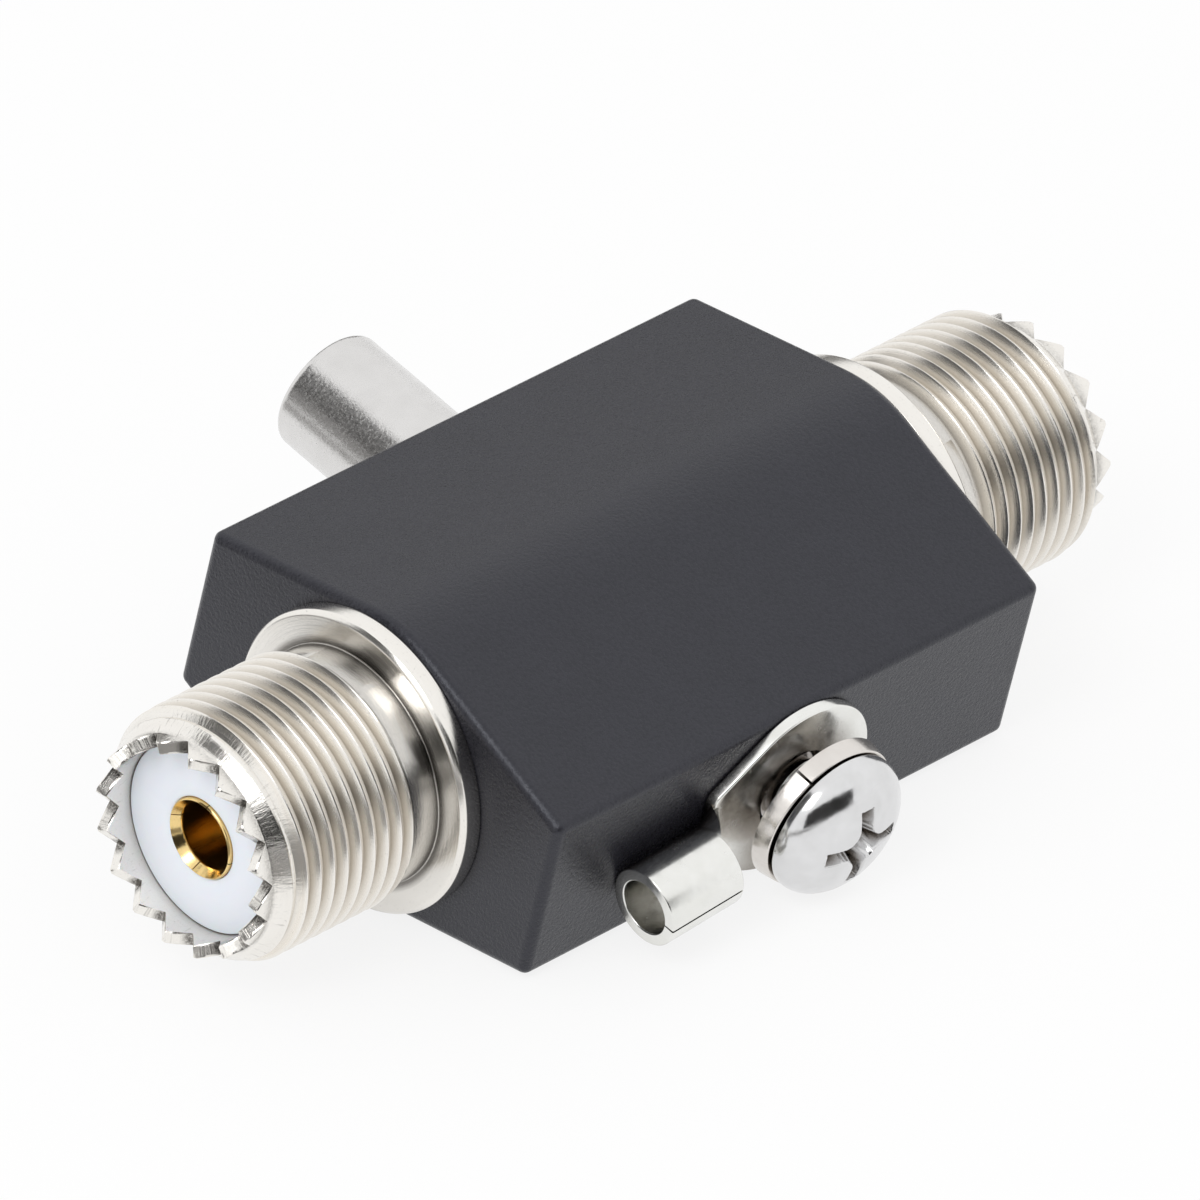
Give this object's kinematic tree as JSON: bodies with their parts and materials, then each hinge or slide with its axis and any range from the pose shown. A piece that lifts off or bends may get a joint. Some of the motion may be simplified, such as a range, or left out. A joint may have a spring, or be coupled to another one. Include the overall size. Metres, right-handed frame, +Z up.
{
  "type": "coax lightning arrestor",
  "caption": "Inline coax lightning arrestor: black cast block with a threaded coax port at each end, a screwed gas tube cap on one side and an earthing screw with a ring lug on the other.",
  "frame": {"origin": "on the table, under the middle of the assembly's box, as the arrestor lies loose", "axes": "+X along the coax axis from port_a towards port_b, +Y to the gas tube cap's side, -Y to the earthing screw's side, +Z up; the block lies rolled about X so that the cap points slightly upwards"},
  "size_m": [0.0692, 0.046, 0.0199],
  "materials": {
    "black_coat": "satin, fine grained powder coat",
    "nickel": "turned and nickel plated, bright",
    "satin_nickel": "nickel plated, satin",
    "white_plastic": "smooth, slightly waxy",
    "gold": "gold plated, bright",
    "plain_brass": "turned",
    "electrode": "satin",
    "tube_ceramic": "matt white alumina",
    "spring_steel": "drawn wire",
    "bright_steel": "zinc plated, bright",
    "washer_steel": "zinc plated, bright",
    "tin": "tin plated, bright"
  },
  "bodies": {
    "root": {"housing": "black_coat", "port_a_shell": "nickel", "port_b_shell": "nickel", "port_a_insulator": "white_plastic", "port_b_insulator": "white_plastic", "port_a_contact": "gold", "port_b_contact": "gold", "centre_conductor": "plain_brass"},
    "gas_tube": {"gas_tube_inner_electrode": "electrode", "gas_tube_outer_electrode": "electrode", "gas_tube_ceramic": "tube_ceramic", "contact_spring": "spring_steel"},
    "cap": {"tube_cap": "satin_nickel"},
    "washer": {"lock_washer": "washer_steel"},
    "screw": {"earth_screw": "bright_steel"},
    "lug": {"earth_lug": "tin"}
  },
  "joints": [
    {"name": "cap_travel", "type": "slide", "parent": "root", "child": "gas_tube", "axis": [0, 0.9655, 0.2603], "range_m": [0, 0.006]},
    {"name": "cap_turn", "type": "hinge", "parent": "gas_tube", "child": "cap", "pos_m": [0, 0.00673, 0.01204], "axis": [0, 0.9655, 0.2603], "range_deg": [0, 2880]},
    {"name": "screw_travel", "type": "slide", "parent": "root", "child": "washer", "axis": [0, -0.9655, -0.2603], "range_m": [-0.0016, 0.0056]},
    {"name": "screw_turn", "type": "hinge", "parent": "washer", "child": "screw", "pos_m": [0, -0.01605, 0.0059], "axis": [0, -0.9655, -0.2603], "range_deg": [-720, 2520]},
    {"name": "lug_swing", "type": "hinge", "parent": "root", "child": "lug", "pos_m": [0, -0.01605, 0.0059], "axis": [0, -0.9655, -0.2603], "continuous": true}
  ],
  "couplings": [
    {"joint": "cap_turn", "follows": "cap_travel", "rad_per_m": 8377.6},
    {"joint": "screw_turn", "follows": "screw_travel", "rad_per_m": 7854}
  ]
}
